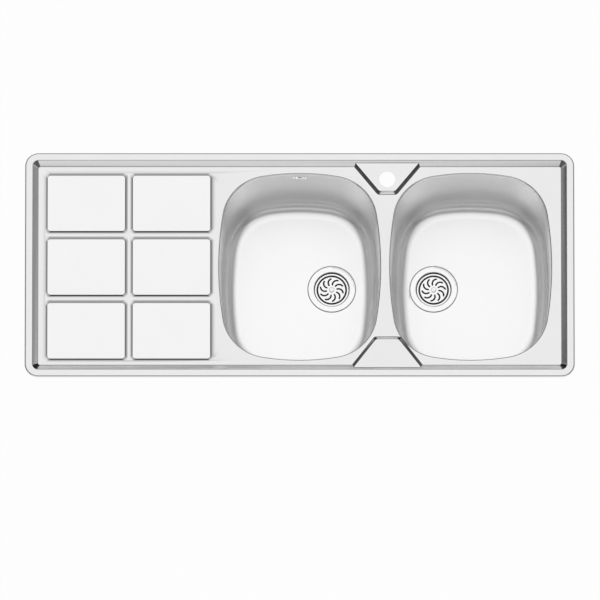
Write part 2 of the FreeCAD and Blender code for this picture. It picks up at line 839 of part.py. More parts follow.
# Places of the clips: name, x, y and the direction that the claw swings out to.
def clip_places():
    row_y = field_half_y - clip_edge_gap
    end_x = field_half_x - clip_edge_gap
    left_y = field_half_y - clip_left_inset
    drainer_x = -field_half_x + clip_drainer_inset
    middle_x = bowl_centres["left"] - bowl_half_x + clip_corner_inset
    bowl_x = bowl_centres["right"] + bowl_half_x - clip_end_inset
    return [
        ("back_drainer", drainer_x, row_y, 90),
        ("back_middle", middle_x, row_y, 90),
        ("back_bowl", bowl_x, row_y, 90),
        ("front_middle", middle_x, -row_y, -90),
        ("front_bowl", bowl_x, -row_y, -90),
        ("left_back", -end_x, left_y, 180),
        ("left_front", -end_x, -left_y, 180),
        ("right_end", end_x, 0, 0),
    ]


def placed_clip(shape, x, y, outward):
    shape.rotate(origin, up, outward - 90)
    shape.translate(point(x, y, 0))
    return shape


bridge_top = deck_underside - bracket_drop + bracket_sheet
arm_bottom = claw_grip_z - claw_rise
tip_top = arm_bottom - clip_head_gap


# Bracket: two feet on the deck's underside and a bridge that holds the screw's head.
def make_bracket():
    half_width = bracket_width / 2
    half_span = bracket_span / 2
    bridge_bottom = bridge_top - bracket_sheet
    start = point(-half_span, -half_width, bridge_bottom)
    body = Part.makeBox(bracket_span, bracket_width, bracket_sheet, start)
    leg_height = deck_underside - bridge_bottom
    leg_start = point(half_span, -half_width, bridge_bottom)
    leg = Part.makeBox(bracket_sheet, bracket_width, leg_height, leg_start)
    foot_start = point(half_span, -half_width, deck_underside - bracket_sheet)
    foot = Part.makeBox(bracket_foot, bracket_width, bracket_sheet, foot_start)
    side = leg.fuse(foot)
    body = body.fuse(side).fuse(side.mirror(origin, point(1, 0, 0)))
    hole_start = point(0, 0, bridge_top - overrun)
    hole = Part.makeCylinder(clip_screw_radius + clip_hole_gap, 2 * overrun, hole_start)
    return body.cut(hole)


def make_clip_screw():
    head_bottom = bridge_top + clip_head_gap
    head = Part.makeCylinder(clip_head_radius, clip_head_height - clip_head_gap, point(0, 0, head_bottom))
    tip_bottom = tip_top - clip_tip_height
    shank = Part.makeCylinder(clip_screw_radius, head_bottom - tip_bottom, point(0, 0, tip_bottom))
    tip = Part.makeCylinder(clip_tip_radius, clip_tip_height, point(0, 0, tip_bottom))
    slot = Part.makeBox(
        2 * clip_tip_radius, driver_slot_width, driver_slot_depth,
        point(-clip_tip_radius, -driver_slot_width / 2, tip_bottom))
    return head.fuse(shank).fuse(tip).cut(slot)


# Claw: a flat arm with a round end about the screw and its far end turned up.
def make_claw():
    half = claw_width / 2
    arm = Part.makeBox(claw_length, claw_width, claw_sheet, point(0, -half, arm_bottom))
    arm = arm.fuse(Part.makeCylinder(half, claw_sheet, point(0, 0, arm_bottom)))
    finger_start = point(claw_length - claw_sheet, -half, arm_bottom)
    finger = Part.makeBox(claw_sheet, claw_width, claw_rise, finger_start)
    hole = Part.makeCylinder(clip_screw_radius + clip_hole_gap, claw_sheet, point(0, 0, arm_bottom))
    return arm.fuse(finger).cut(hole)


def save(name, shape):
    shape = shape.removeSplitter()
    if not shape.isValid():
        print("not valid:", name)
    shape.exportStep("parts/" + name + ".step")
    print(name, len(shape.Solids), round(shape.Volume))


save("deck", make_deck())
save("rim_seal", make_rim_seal())
save("drainer_sound_pads", make_drainer_pads())
for side in bowl_centres:
    save(side + "_bowl", make_bowl(side))
    save(side + "_bowl_sound_pad", make_bowl_pad(side))
    flange_seal = ring(drain_hole_radius + seal_inset, strainer_radius, -dish_depth, strainer_seal)
    save(side + "_flange_seal", at_drain(flange_seal, side))
    save(side + "_strainer_flange", at_drain(make_strainer(), side))
    save(side + "_basket", at_drain(make_basket(side), side))
    save(side + "_basket_knob", at_drain(make_knob(), side))
    save(side + "_basket_stopper", at_drain(make_stopper(), side))
    gasket = ring(drain_hole_radius + gasket_inset, waste_flange_radius, waste_top, waste_gasket_thickness)
    save(side + "_waste_gasket", at_drain(gasket, side))
    save(side + "_waste_body", at_drain(make_waste(side), side))
    save(side + "_clamp_screw", at_drain(make_clamp_screw(), side))

save("overflow_gasket", make_overflow_gasket())
save("overflow_housing", make_overflow_housing())
save("overflow_screw", make_overflow_screw())
save("overflow_pipe", make_overflow_pipe())
pipe_top, pipe_bend, pipe_end, pipe_direction = pipe_ends()
save("overflow_top_nut", make_nut(pipe_top, up))
save("overflow_bottom_nut", make_nut(pipe_end, pipe_direction))

brackets = []
for name, x, y, outward in clip_places():
    brackets.append(placed_clip(make_bracket(), x, y, outward))
    save(name + "_clip_screw", placed_clip(make_clip_screw(), x, y, outward))
    save(name + "_clip_claw", placed_clip(make_claw(), x, y, outward))
save("clip_brackets", Part.makeCompound(brackets))
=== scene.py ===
import json
import math

import bmesh
import bpy
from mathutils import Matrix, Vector


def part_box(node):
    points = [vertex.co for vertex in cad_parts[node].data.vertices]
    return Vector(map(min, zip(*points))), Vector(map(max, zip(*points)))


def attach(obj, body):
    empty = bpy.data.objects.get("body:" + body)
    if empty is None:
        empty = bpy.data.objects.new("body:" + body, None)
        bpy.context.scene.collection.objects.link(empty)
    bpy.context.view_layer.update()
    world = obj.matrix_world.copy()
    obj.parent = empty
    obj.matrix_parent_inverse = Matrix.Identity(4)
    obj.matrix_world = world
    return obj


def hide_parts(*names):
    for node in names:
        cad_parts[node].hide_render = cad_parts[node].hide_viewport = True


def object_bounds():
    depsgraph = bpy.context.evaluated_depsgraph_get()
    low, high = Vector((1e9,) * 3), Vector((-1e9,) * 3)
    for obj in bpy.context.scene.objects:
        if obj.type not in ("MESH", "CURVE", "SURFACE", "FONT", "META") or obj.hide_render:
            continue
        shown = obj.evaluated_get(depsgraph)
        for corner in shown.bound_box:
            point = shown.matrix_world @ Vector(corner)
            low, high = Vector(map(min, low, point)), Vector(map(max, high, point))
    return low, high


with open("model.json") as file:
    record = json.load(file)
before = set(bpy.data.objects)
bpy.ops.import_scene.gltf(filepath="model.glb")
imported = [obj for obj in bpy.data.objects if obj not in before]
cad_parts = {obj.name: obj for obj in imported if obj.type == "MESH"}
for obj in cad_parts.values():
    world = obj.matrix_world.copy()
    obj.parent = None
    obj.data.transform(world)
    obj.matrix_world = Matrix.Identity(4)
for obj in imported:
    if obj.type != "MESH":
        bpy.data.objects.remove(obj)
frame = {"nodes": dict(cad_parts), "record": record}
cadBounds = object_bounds()
nodes = frame["nodes"]
record = frame["record"]
slotOf = {row["node"]: row["material_slot"] for row in record["subparts"]}
bodyOf = {node: body for body, members in record["behaviour"]["bodies"].items() for node in members}
mounts = {mount["name"]: Vector(mount["pos_m"]) for mount in record["mounts"]}
drains = {side: mounts[side + "_waste_outlet"] for side in ("left", "right")}
print("frame loaded:", len(nodes), "nodes")


def nodeCentre(node):
    low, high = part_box(node)
    return (low + high) / 2


# node values as Python expressions: each operator adds one Math node
class Value:
    def __init__(self, builder, socket):
        self.builder = builder
        self.socket = socket

    def combine(self, operation, first, second, clamp=False):
        settings = {"operation": operation, "use_clamp": clamp}
        return self.builder.value("ShaderNodeMath", settings, {0: first, 1: second})

    def __add__(self, other):
        return self.combine("ADD", self, other)

    def __radd__(self, other):
        return self.combine("ADD", other, self)

    def __sub__(self, other):
        return self.combine("SUBTRACT", self, other)

    def __rsub__(self, other):
        return self.combine("SUBTRACT", other, self)

    def __mul__(self, other):
        return self.combine("MULTIPLY", self, other)

    def __rmul__(self, other):
        return self.combine("MULTIPLY", other, self)

    # 0 where the value is at low, 1 where it is at high, held between them
    def between(self, low, high):
        return self.combine("DIVIDE", self - low, high - low, clamp=True)


# one node tree under construction; add() makes every node that isn't plain maths
class Builder:
    def add(self, kind, settings=None, sockets=None):
        node = self.tree.nodes.new(kind)
        for key, setting in (settings or {}).items():
            if key == "stops":
                ramp = node.color_ramp
                while len(ramp.elements) < len(setting):
                    ramp.elements.new(0.5)
                for element, (position, tone) in zip(ramp.elements, setting):
                    element.position = position
                    element.color = (tone, tone, tone, 1.0)
            else:
                setattr(node, key, setting)
        for key, content in (sockets or {}).items():
            target = node.inputs[key]
            if isinstance(content, Value):
                self.tree.links.new(content.socket, target)
            else:
                target.default_value = content
        return node

    def value(self, kind, settings=None, sockets=None, output=0):
        return Value(self, self.add(kind, settings, sockets).outputs[output])


# a material, or the studio's world
class Finish(Builder):
    sideBlend = 0.0005  # metres between a face's plane and the middle, within which its side is blended

    def __init__(self, name, family=bpy.data.materials):
        self.made = family.new(name)
        self.made.use_nodes = True
        self.tree = self.made.node_tree
        self.tree.nodes.clear()

    def place(self):
        return self.value("ShaderNodeTexCoord", output="Object")

    def facing(self):
        return self.value("ShaderNodeTexCoord", output="Normal")

    def axis(self, name, vector):
        return self.value("ShaderNodeSeparateXYZ", None, {"Vector": vector}, output=name)

    # a noise on the piece's own coordinates; its scale is one number, or one for each axis
    def noise(self, scale, detail, roughness=0.55):
        scales = scale if isinstance(scale, tuple) else (scale, scale, scale)
        spread = self.value("ShaderNodeMapping", None, {"Vector": self.place(), "Scale": scales})
        sockets = {"Vector": spread, "Scale": 1.0, "Detail": detail, "Roughness": roughness}
        return self.value("ShaderNodeTexNoise", None, sockets)

    def ramp(self, value, stops, interpolation="LINEAR"):
        node = self.add("ShaderNodeValToRGB", {"stops": stops}, {"Fac": value})
        node.color_ramp.interpolation = interpolation
        return Value(self, node.outputs[0])

    def tint(self, factor, low, high):
        sockets = {"Factor": factor, 6: low, 7: high}  # 6 and 7 are the two colours
        return self.value("ShaderNodeMix", {"data_type": "RGBA"}, sockets, output=2)

    # 1 where the surface looks away from the middle, 0 where it looks towards it
    def outside(self, middle):
        away = self.value("ShaderNodeVectorMath", {"operation": "SUBTRACT"}, {0: self.place(), 1: middle})
        sockets = {0: away, 1: self.facing()}
        outwards = self.value("ShaderNodeVectorMath", {"operation": "DOT_PRODUCT"}, sockets, output="Value")
        return outwards.between(-self.sideBlend, self.sideBlend)

    def bump(self, height, strength, distance):
        sockets = {"Height": height, "Strength": strength, "Distance": distance}
        return self.value("ShaderNodeBump", None, sockets)

    def close(self, sockets):
        shader = self.value("ShaderNodeBsdfPrincipled", None, sockets)
        self.add("ShaderNodeOutputMaterial", None, {"Surface": shader})
        return self.made


def grey(tone, warmth=0.0):
    return (tone + warmth, tone, tone - warmth, 1.0)


# Noise scales count ripples in a metre. A spread is how far a noise lifts the roughness above the gloss.
satinLook = {
    "grainDetail": 4.0,
    "grainHarshness": 0.7,
    "grainSpread": 0.08,
    "grainBump": 0.05,
    "grainDepth": 0.00004,
    "cloudScale": 9.0,
    "cloudDetail": 2.0,
    "cloudSpread": 0.04,
    "wearScale": 60.0,
    "wearDetail": 5.0,
    "wearStops": [(0.45, 0.0), (0.75, 1.0)],
    "wearSpread": 0.03,
}


# the grain of satin steel, its faint clouds, and both in equal shares
def brushed(finish, grainScale):
    grain = finish.noise(grainScale, satinLook["grainDetail"], satinLook["grainHarshness"])
    cloud = finish.noise(satinLook["cloudScale"], satinLook["cloudDetail"])
    return grain, cloud, grain * 0.5 + cloud * 0.5


deckLook = {
    "grainScale": (12.0, 900.0, 900.0),  # long scratches along the sink
    "gloss": 0.09,
    "shade": grey(0.74),
    "light": grey(0.83),
}

# The drainer's panels lie lower and are coloured lighter. Faces that tilt a little from level, such as the
# bends round them, get painted shade.
panelLook = {
    "starts": -0.0058,
    "full": -0.0070,
    "shade": grey(0.82),
    "light": grey(0.90),
    "bend": grey(0.34),
    # how much painted shade a face gets, by how far up it looks
    "bends": [(0.0, 0.0), (0.81, 0.0), (0.87, 1.0), (0.955, 1.0), (0.99, 0.0), (1.0, 0.0)],
}


# satin sheet: long fine scratches, faint cloudy wear and a slow change of gloss
def satinSteel(name, look, panels=None):
    finish = Finish(name)
    grain, cloud, blend = brushed(finish, look["grainScale"])
    rubs = finish.noise(satinLook["wearScale"], satinLook["wearDetail"])
    wear = finish.ramp(rubs, satinLook["wearStops"])
    clouded = grain * satinLook["grainSpread"] + cloud * satinLook["cloudSpread"]
    colour = finish.tint(blend, look["shade"], look["light"])
    if panels:
        depth = finish.axis("Z", finish.place()).between(panels["starts"], panels["full"])
        colour = finish.tint(depth, colour, finish.tint(blend, panels["shade"], panels["light"]))
        # painted shade: faces that tilt a little from level are painted dark
        paintedShadeMask = finish.ramp(finish.axis("Z", finish.facing()), panels["bends"])
        colour = finish.tint(paintedShadeMask, colour, panels["bend"])
    return finish.close({
        "Base Color": colour,
        "Metallic": 1.0,
        "Roughness": clouded + wear * satinLook["wearSpread"] + look["gloss"],
        "Normal": finish.bump(grain, satinLook["grainBump"], satinLook["grainDepth"]),
    })


bowlLook = {
    "grainScale": (260.0, 260.0, 60.0),
    "gloss": 0.26,
    "shade": grey(0.95),
    "light": grey(1.0),
    "outsideGloss": 0.42,
    "outsideShade": grey(0.34),
    "outsideLight": grey(0.46),
    "middleLevel": -0.09,
}


# A bowl is brushed bright inside. Outside, where its surface looks away from the middle, it is rougher and
# painted dark: partly duller steel, partly painted shade.
def bowlSteel(name, middle):
    finish = Finish(name)
    grain, cloud, blend = brushed(finish, bowlLook["grainScale"])
    outside = finish.outside(middle)
    inner = finish.tint(blend, bowlLook["shade"], bowlLook["light"])
    # the outside's dark tones: partly duller steel, partly painted shade
    outer = finish.tint(blend, bowlLook["outsideShade"], bowlLook["outsideLight"])
    clouded = grain * satinLook["grainSpread"] + cloud * satinLook["cloudSpread"]
    dulled = outside * (bowlLook["outsideGloss"] - bowlLook["gloss"])
    return finish.close({
        "Base Color": finish.tint(outside, inner, outer),
        "Metallic": 1.0,
        "Roughness": clouded + dulled + bowlLook["gloss"],
        "Normal": finish.bump(grain, satinLook["grainBump"], satinLook["grainDepth"]),
    })


# the weld round a bowl's mouth takes the bowl's outside tones: partly duller steel, partly painted shade
seamLook = {
    "grainScale": bowlLook["grainScale"],
    "gloss": bowlLook["outsideGloss"],
    "shade": bowlLook["outsideShade"],
    "light": bowlLook["outsideLight"],
}

fittingLook = {"gloss": 0.12, "shade": grey(0.80), "light": grey(0.90)}

strainerLook = {"gloss": 0.13, "shade": grey(0.86), "light": grey(0.95)}

# Below these levels the strainers are painted dark: painted shade deep in the mouth and the cup.
flangeDepthShade = {"starts": -0.1962, "full": -0.1975, "tone": grey(0.035), "dulling": 0.25}
basketDepthShade = dict(flangeDepthShade, starts=-0.2020, full=-0.2030)

polish = {
    "swirlScale": (300.0, 300.0, 80.0),
    "swirlDetail": 4.0,
    "swirlSpread": 0.08,
    "swirlBump": 0.04,
    "swirlDepth": 0.00003,
}


# polished steel, with the fine swirl that the wheel leaves
def polishedSteel(name, look, depthShade=None):
    finish = Finish(name)
    swirl = finish.noise(polish["swirlScale"], polish["swirlDetail"])
    colour = finish.tint(swirl, look["shade"], look["light"])
    roughness = swirl * polish["swirlSpread"]
    if depthShade:
        # painted shade: below the given level the steel is painted dark
        depth = finish.axis("Z", finish.place()).between(depthShade["starts"], depthShade["full"])
        colour = finish.tint(depth, colour, depthShade["tone"])
        roughness = roughness + depth * depthShade["dulling"]
    return finish.close({
        "Base Color": colour,
        "Metallic": 1.0,
        "Roughness": roughness + look["gloss"],
        "Normal": finish.bump(swirl, polish["swirlBump"], polish["swirlDepth"]),
    })


zincLook = {
    "gloss": 0.26,
    "shade": (0.60, 0.61, 0.62, 1.0),
    "light": (0.74, 0.745, 0.75, 1.0),
    "spangleScale": 220.0,
    "spangleDetail": 3.0,
    "spangleSpread": 0.18,
    "spangleBump": 0.12,
    "spangleDepth": 0.00005,
    "patchScale": 40.0,
    "patchDetail": 4.0,
    "patchStops": [(0.4, 0.0), (0.7, 1.0)],
}


# zinc plate: a fine spangle, and paler patches
def platedSteel(name):
    finish = Finish(name)
    spangle = finish.noise(zincLook["spangleScale"], zincLook["spangleDetail"])
    bloom = finish.noise(zincLook["patchScale"], zincLook["patchDetail"])
    patch = finish.ramp(bloom, zincLook["patchStops"])
    return finish.close({
        "Base Color": finish.tint(patch, zincLook["shade"], zincLook["light"]),
        "Metallic": 1.0,
        "Roughness": spangle * zincLook["spangleSpread"] + zincLook["gloss"],
        "Normal": finish.bump(spangle, zincLook["spangleBump"], zincLook["spangleDepth"]),
    })


gasketLook = {"dark": grey(0.02), "dusty": grey(0.05), "gloss": 0.55, "grainScale": 700.0, "depth": 0.00008}
sealLook = {"dark": grey(0.10), "dusty": grey(0.17), "gloss": 0.8, "grainScale": 1500.0, "depth": 0.0002}
padLook = {"dark": grey(0.12), "dusty": grey(0.22), "gloss": 0.7, "grainScale": 500.0, "depth": 0.0003}

softness = {
    "grainDetail": 5.0,
    "grainSpread": 0.15,
    "grainBump": 0.4,
    "dustScale": 25.0,
    "dustDetail": 4.0,
    "dustStops": [(0.45, 0.0), (0.8, 1.0)],
}


# rubber, foam and damping sheet: a fine grain with dust on it in places
def softRubber(name, look):
    finish = Finish(name)
    grain = finish.noise(look["grainScale"], softness["grainDetail"])
    drift = finish.noise(softness["dustScale"], softness["dustDetail"])
    dust = finish.ramp(drift, softness["dustStops"])
    return finish.close({
        "Base Color": finish.tint(dust, look["dark"], look["dusty"]),
        "Roughness": grain * softness["grainSpread"] + look["gloss"],
        "Normal": finish.bump(grain, softness["grainBump"], look["depth"]),
    })


plasticLook = {
    "gloss": 0.36,
    "shade": grey(0.79, 0.008),
    "light": grey(0.865, 0.005),
    "coat": 0.1,
    # the colour of the painted glow
    "glow": grey(0.75),
    "grainScale": 900.0,
    "grainDetail": 2.0,
    "grainBump": 0.15,
    "grainDepth": 0.00004,
    "flowScale": (14.0, 14.0, 30.0),
    "flowDetail": 3.0,
    "flowSpread": 0.1,
}


# Moulded plastic. With a middle given, the faces that look to it get a painted glow, an emission that
# stands in for light through a thin wall.
def mouldedPlastic(name, paintedGlowMiddle=None):
    finish = Finish(name)
    glow = grey(0.0)
    # painted glow on the faces that look to the middle
    if paintedGlowMiddle:
        glow = finish.tint(finish.outside(paintedGlowMiddle), plasticLook["glow"], glow)
    grain = finish.noise(plasticLook["grainScale"], plasticLook["grainDetail"])
    flow = finish.noise(plasticLook["flowScale"], plasticLook["flowDetail"])
    return finish.close({
        "Base Color": finish.tint(flow, plasticLook["shade"], plasticLook["light"]),
        "Roughness": flow * plasticLook["flowSpread"] + plasticLook["gloss"],
        "Normal": finish.bump(grain, plasticLook["grainBump"], plasticLook["grainDepth"]),
        "Coat Weight": plasticLook["coat"],
        "Emission Color": glow,
        "Emission Strength": 1.0,
    })


finishes = {
    "steel": satinSteel("satinDeckSteel", deckLook, panelLook),
    "bowl_steel": satinSteel("satinBowlSteel", seamLook),
    "bright_steel": polishedSteel("polishedSteel", fittingLook),
    "zinc_steel": platedSteel("zincPlate"),
    "rubber": softRubber("blackRubber", gasketLook),
    "foam": softRubber("sealFoam", sealLook),
    "damping": softRubber("dampingSheet", padLook),
    "white_plastic": mouldedPlastic("whitePlastic"),
}
flangeSteel = polishedSteel("strainerFlangeSteel", strainerLook, flangeDepthShade)
basketSteel = polishedSteel("basketSteel", strainerLook, basketDepthShade)
ownFinish = {}
for side in drains:
    centre = nodeCentre(side + "_bowl")
    ownFinish[side + "_bowl"] = bowlSteel(side + "BowlSteel", (centre.x, centre.y, bowlLook["middleLevel"]))
    ownFinish[side + "_strainer_flange"] = flangeSteel
    ownFinish[side + "_basket"] = basketSteel
ownFinish["overflow_housing"] = mouldedPlastic("overflowPlastic", tuple(nodeCentre("overflow_housing")))
print("finishes made:", len(finishes), "and for", len(ownFinish), "pieces their own")


def addPiece(name, mesh, body, slot, material=None):
    mesh.materials.clear()
    mesh.materials.append(material or finishes[slot])
    piece = bpy.data.objects.new(name, mesh)
    bpy.context.scene.collection.objects.link(piece)
    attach(piece, body)
    return piece


smoothing = {"mergeDistance": 0.000002, "sharpAngle": 32.0}


# A CAD node's triangles are loose: the copy is merged, so that its bends shade smoothly.
def smoothCopy(node):
    mesh = nodes[node].data.copy()
    work = bmesh.new()
    work.from_mesh(mesh)
    bmesh.ops.remove_doubles(work, verts=work.verts, dist=smoothing["mergeDistance"])
    limit = math.radians(smoothing["sharpAngle"])
    for edge in work.edges:
        edge.smooth = len(edge.link_faces) != 2 or edge.calc_face_angle(0.0) < limit
    for face in work.faces:
        face.smooth = True
    work.to_mesh(mesh)
    work.free()
    piece = addPiece(node + "_finished", mesh, bodyOf[node], slotOf[node], ownFinish.get(node))
    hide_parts(node)


for node in nodes:
    smoothCopy(node)
print("pieces finished")


# a geometry node tree with named inputs; it ends in Realize Instances and Set Material
class Pattern(Builder):
    kinds = {int: "NodeSocketInt", float: "NodeSocketFloat", tuple: "NodeSocketVector"}

    def __init__(self, name, inputs):
        self.tree = bpy.data.node_groups.new(name, "GeometryNodeTree")
        face = self.tree.interface
        self.keys = {}
        face.new_socket(name="Path", in_out="INPUT", socket_type="NodeSocketGeometry")
        for label, example in inputs.items():
            socket = face.new_socket(name=label, in_out="INPUT", socket_type=self.kinds[type(example)])
            self.keys[label] = socket.identifier
        socket = face.new_socket(name="Finish", in_out="INPUT", socket_type="NodeSocketMaterial")
        self.keys["Finish"] = socket.identifier
        face.new_socket(name="Geometry", in_out="OUTPUT", socket_type="NodeSocketGeometry")
        self.entry = self.add("NodeGroupInput")

    def given(self, label):
        return Value(self, self.entry.outputs[label])

    def close(self, geometry):
        solid = self.value("GeometryNodeRealizeInstances", None, {"Geometry": geometry})
        sockets = {"Geometry": solid, "Material": self.given("Finish")}
        dressed = self.value("GeometryNodeSetMaterial", None, sockets)
        self.add("NodeGroupOutput", None, {"Geometry": dressed})
        return self

    # grown on a carrier mesh, then turned into a plain mesh of its own
    def grow(self, name, sizes, body, slot, path=None):
        carrier = bpy.data.objects.new(name + "Carrier", path or bpy.data.meshes.new(name + "Carrier"))
        bpy.context.scene.collection.objects.link(carrier)
        modifier = carrier.modifiers.new("pattern", "NODES")
        modifier.node_group = self.tree
        given = dict(sizes, Finish=finishes[slot])
        for label, key in self.keys.items():
            modifier[key] = given[label]
        graph = bpy.context.evaluated_depsgraph_get()
        graph.update()
        mesh = bpy.data.meshes.new_from_object(carrier.evaluated_get(graph))
        carrier.modifiers.clear()
        bpy.data.objects.remove(carrier)
        mesh.name = name
        for polygon in mesh.polygons:
            polygon.use_smooth = True
        return addPiece(name, mesh, body, slot)


# In these dictionaries the capitalised names are the tree's own inputs.
outletThread = {
    "Radius": 0.0237,
    "Crest": 0.0006,
    "Turns": 11.0,
    "Height": 0.0254,
    "Steps": 40,
    "Sides": 6,
    "start": -0.0148,  # from the outlet's middle
}


# a screw thread: a spiral ridge wound on its core
def threadPattern():
    pattern = Pattern("screwThread", {"Radius": 1.0, "Crest": 1.0, "Turns": 1.0, "Height": 1.0, "Steps": 1,
                                      "Sides": 1, "Place": (0.0, 0.0, 0.0)})
    radius = pattern.given("Radius")
    spiral = pattern.value("GeometryNodeCurveSpiral", None, {
        "Resolution": pattern.given("Steps"), "Rotations": pattern.given("Turns"),
        "Start Radius": radius, "End Radius": radius, "Height": pattern.given("Height")})
    ridge = pattern.value("GeometryNodeCurvePrimitiveCircle", None, {
        "Resolution": pattern.given("Sides"), "Radius": pattern.given("Crest")})
    sockets = {"Curve": spiral, "Profile Curve": ridge, "Fill Caps": True}
    wound = pattern.value("GeometryNodeCurveToMesh", None, sockets)
    sockets = {"Geometry": wound, "Translation": pattern.given("Place")}
    return pattern.close(pattern.value("GeometryNodeTransform", None, sockets))


thread = threadPattern()
for side, drain in drains.items():
    start = drain + Vector((0.0, 0.0, outletThread["start"]))
    thread.grow(side + "OutletThread", dict(outletThread, Place=tuple(start)), "sink", "white_plastic")
print("threads cut")


nutGrip = {
    "Count": 24,
    "Radius": 0.0164,
    "Rib": 0.0006,
    "Height": 0.0104,
    "Sides": 8,
}


# grip ribs: small rounded bars set on a circle, then turned and moved to the nut
def gripPattern():
    pattern = Pattern("nutGrip", {"Count": 1, "Radius": 1.0, "Rib": 1.0, "Height": 1.0, "Sides": 1,
                                  "Turn": (0.0, 0.0, 0.0), "Place": (0.0, 0.0, 0.0)})
    circle = pattern.value("GeometryNodeMeshCircle", None, {
        "Vertices": pattern.given("Count"), "Radius": pattern.given("Radius")})
    bar = pattern.value("GeometryNodeMeshCylinder", None, {
        "Vertices": pattern.given("Sides"),
        "Radius": pattern.given("Rib"),
        "Depth": pattern.given("Height")})
    ribs = pattern.value("GeometryNodeInstanceOnPoints", None, {"Points": circle, "Instance": bar})
    placed = pattern.value("GeometryNodeTransform", None, {
        "Geometry": ribs, "Translation": pattern.given("Place"), "Rotation": pattern.given("Turn")})
    return pattern.close(placed)


# The overflow pipe's top nut stands upright. Its bottom nut lies towards the left drain.
grip = gripPattern()
bottomNut = nodeCentre("overflow_bottom_nut")
toDrain = drains["left"] - bottomNut
toDrain.z = 0.0
upright = dict(nutGrip, Turn=(0.0, 0.0, 0.0), Place=tuple(nodeCentre("overflow_top_nut")))
lying = dict(nutGrip, Turn=tuple(toDrain.to_track_quat("Z", "Y").to_euler()), Place=tuple(bottomNut))
grip.grow("topNutGrip", upright, "sink", "white_plastic")
grip.grow("bottomNutGrip", lying, "sink", "white_plastic")
print("nuts gripped")


mouthSeam = {
    "halfX": 0.1755,
    "halfY": 0.21125,
    "centreY": -0.00175,
    "sideRadius": 0.750,
    "endRadius": 0.480,
    "cornerRadius": 0.102,
    "archSteps": 12,
    "cornerSteps": 24,
    "outset": 0.0010,
    "level": -0.013,
    "Step": 0.0022,
    "Bead": 0.0008,
    "Ripple": 0.35,
    "RippleScale": 420.0,
    "Sides": 6,
}


# the bowl's outline under the deck: one quarter of three arcs that meet smoothly, mirrored to four
def mouthPoints(centreX):
    sizes = mouthSeam
    sideX = sizes["halfX"] - sizes["sideRadius"]
    endY = sizes["halfY"] - sizes["endRadius"]
    toSide = sizes["sideRadius"] - sizes["cornerRadius"]
    toEnd = sizes["endRadius"] - sizes["cornerRadius"]
    apart = math.hypot(sideX, endY)
    along = (toSide ** 2 - toEnd ** 2 + apart ** 2) / (2 * apart)
    across = math.sqrt(toSide ** 2 - along ** 2)
    unit = Vector((-sideX / apart, endY / apart))
    corner = Vector((sideX, 0.0)) + unit * along + Vector((-unit.y, unit.x)) * across
    sideTurn = math.atan2(corner.y, corner.x - sideX)
    endTurn = math.atan2(corner.y - endY, corner.x)
    arcs = [
        (Vector((sideX, 0.0)), sizes["sideRadius"], 0.0, sideTurn, sizes["archSteps"]),
        (corner, sizes["cornerRadius"], sideTurn, endTurn, sizes["cornerSteps"]),
        (Vector((0.0, endY)), sizes["endRadius"], endTurn, math.pi / 2, sizes["archSteps"]),
    ]
    quarter = []
    for centre, radius, start, end, steps in arcs:
        for index in range(steps):
            turn = start + (end - start) * index / steps
            reach = radius + sizes["outset"]
            quarter.append(centre + Vector((math.cos(turn), math.sin(turn))) * reach)
    top = Vector((0.0, endY + sizes["endRadius"] + sizes["outset"]))
    half = quarter + [top] + [Vector((-p.x, p.y)) for p in reversed(quarter[1:])]
    ring = half + [Vector((-quarter[0].x, 0.0))] + [Vector((p.x, -p.y)) for p in reversed(half[1:])]
    return [(centreX + p.x, sizes["centreY"] + p.y, sizes["level"]) for p in ring]


# a weld bead that follows its path, with the ripple that a seam welder leaves
def beadPattern():
    pattern = Pattern("weldBead", {"Step": 1.0, "Bead": 1.0, "Ripple": 1.0, "RippleScale": 1.0, "Sides": 1})
    curve = pattern.value("GeometryNodeMeshToCurve", None, {"Mesh": pattern.given("Path")})
    sockets = {"Curve": curve, "Length": pattern.given("Step")}
    even = pattern.value("GeometryNodeResampleCurve", {"mode": "LENGTH"}, sockets)
    place = pattern.value("GeometryNodeInputPosition")
    sockets = {"Vector": place, "Scale": pattern.given("RippleScale"), "Detail": 1.0}
    noise = pattern.value("ShaderNodeTexNoise", None, sockets)
    size = pattern.given("Bead") * (1.0 + (noise - 0.5) * pattern.given("Ripple") * 2.0)
    sockets = {"Resolution": pattern.given("Sides"), "Radius": 1.0}
    section = pattern.value("GeometryNodeCurvePrimitiveCircle", None, sockets)
    sockets = {"Curve": even, "Profile Curve": section, "Scale": size}
    return pattern.close(pattern.value("GeometryNodeCurveToMesh", None, sockets))


def pointMesh(name, points, closed):
    mesh = bpy.data.meshes.new(name)
    edges = [(i, (i + 1) % len(points)) for i in range(len(points))] if closed else []
    mesh.from_pydata(points, edges, [])
    return mesh


bead = beadPattern()
for side in drains:
    path = pointMesh(side + "MouthPath", mouthPoints(nodeCentre(side + "_bowl").x), True)
    bead.grow(side + "MouthSeam", mouthSeam, "sink", "bowl_steel", path)
print("seams welded")


spotWeld = {
    "Radius": 0.0017,
    "Swell": 0.25,
    "Segments": 14,
    "Rings": 8,
    "footAt": 0.0145,  # from the clip screw's axis to the middle of the bracket's foot
    "footLevel": -0.0074,
}


# spot welds: flat domes on the given points
def spotPattern():
    pattern = Pattern("spotWelds", {"Radius": 1.0, "Swell": 1.0, "Segments": 1, "Rings": 1})
    dome = pattern.value("GeometryNodeMeshUVSphere", None, {
        "Segments": pattern.given("Segments"),
        "Rings": pattern.given("Rings"),
        "Radius": pattern.given("Radius")})
    flat = pattern.value("ShaderNodeCombineXYZ", None, {"X": 1.0, "Y": 1.0, "Z": pattern.given("Swell")})
    sockets = {"Points": pattern.given("Path"), "Instance": dome, "Scale": flat}
    return pattern.close(pattern.value("GeometryNodeInstanceOnPoints", None, sockets))


